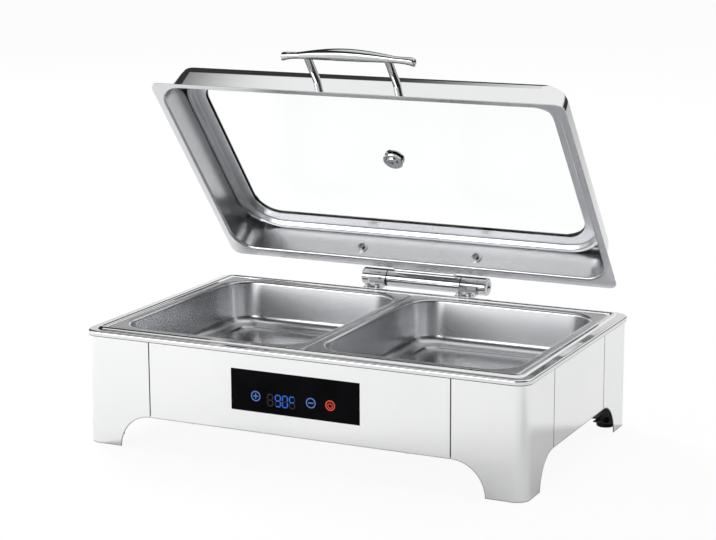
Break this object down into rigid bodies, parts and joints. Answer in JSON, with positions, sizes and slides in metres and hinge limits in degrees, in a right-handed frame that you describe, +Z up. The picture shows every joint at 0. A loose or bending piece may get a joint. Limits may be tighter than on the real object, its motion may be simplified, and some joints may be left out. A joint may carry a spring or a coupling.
{
  "type": "electric chafing dish",
  "caption": "Table-top buffet warmer: polished steel base on corner legs, lift-out food pans over a heated water pan, touch control in front, glass-window lid on a rear hinge",
  "frame": {"origin": "on the standing plane, in the middle of the outline of the dish with its lid open as drawn; the centre of the base itself is 15.5 mm further to the front", "axes": "+X to the right along the front, +Y to the back, +Z up"},
  "size_m": [0.57, 0.386, 0.4751],
  "materials": {
    "polished_steel": "polished stainless sheet, mirror-like",
    "satin_steel": "drawn stainless sheet, satin",
    "galvanised_sheet": "plain zinc-coated sheet",
    "plated_hardware": "plated steel screws, nuts and washers",
    "chrome_hardware": "bright chrome plating",
    "shaft_steel": "ground steel rod",
    "aluminium": "cast plate, matte",
    "element_sheath": "heat-darkened steel tube",
    "sensor_metal": "plain metal capsule",
    "touch_glass": "black-backed glass, glossy",
    "clear_glass": "clear tempered glass",
    "black_plastic": "moulded black plastic",
    "circuit_board": "green solder mask",
    "rubber": "black moulded rubber"
  },
  "bodies": {
    "base": {"leg_front_left": "polished_steel", "leg_front_right": "polished_steel", "leg_rear_left": "polished_steel", "leg_rear_right": "polished_steel", "foot_front_left": "rubber", "foot_front_right": "rubber", "foot_rear_left": "rubber", "foot_rear_right": "rubber", "front_panel": "polished_steel", "rear_panel": "polished_steel", "left_panel": "polished_steel", "right_panel": "polished_steel", "seam_strips": "rubber", "top_frame": "polished_steel", "pan_support_bar": "satin_steel", "water_pan": "satin_steel", "food_pan_left": "satin_steel", "food_pan_right": "satin_steel", "base_plate": "galvanised_sheet", "base_screws": "plated_hardware", "heating_plate": "aluminium", "heating_element": "element_sheath", "heater_clamps": "plated_hardware", "heater_nuts": "plated_hardware", "heat_shield": "galvanised_sheet", "thermal_cutout": "black_plastic", "temperature_sensor": "sensor_metal", "touch_panel": "touch_glass", "display_module": "black_plastic", "control_board": "circuit_board", "control_box": "black_plastic", "power_board": "circuit_board", "board_standoffs": "black_plastic", "power_inlet": "black_plastic", "inlet_screws": "plated_hardware", "inlet_nuts": "plated_hardware", "hinge_bracket_left": "chrome_hardware", "hinge_bracket_right": "chrome_hardware", "hinge_shaft": "shaft_steel", "hinge_caps": "chrome_hardware", "hinge_washers": "black_plastic", "hinge_bolts": "plated_hardware", "hinge_backing_plate": "galvanised_sheet"},
    "lid": {"lid_shell": "polished_steel", "lid_inner_frame": "satin_steel", "lid_glass": "clear_glass", "glass_gasket": "rubber", "lid_hinge_leaf": "chrome_hardware", "leaf_screws": "plated_hardware", "leaf_washers": "plated_hardware", "vent_inner_disc": "chrome_hardware", "vent_outer_cap": "chrome_hardware", "vent_grommet": "rubber", "handle_bar": "chrome_hardware", "handle_post_left": "chrome_hardware", "handle_post_right": "chrome_hardware", "handle_screws": "plated_hardware", "handle_washers": "plated_hardware"}
  },
  "joints": [
    {"name": "lid_hinge", "type": "hinge", "parent": "base", "child": "lid", "pos_m": [0, 0.1815, 0.1515], "axis": [-1, 0, 0], "range_deg": [-50.6, 39.4]}
  ]
}
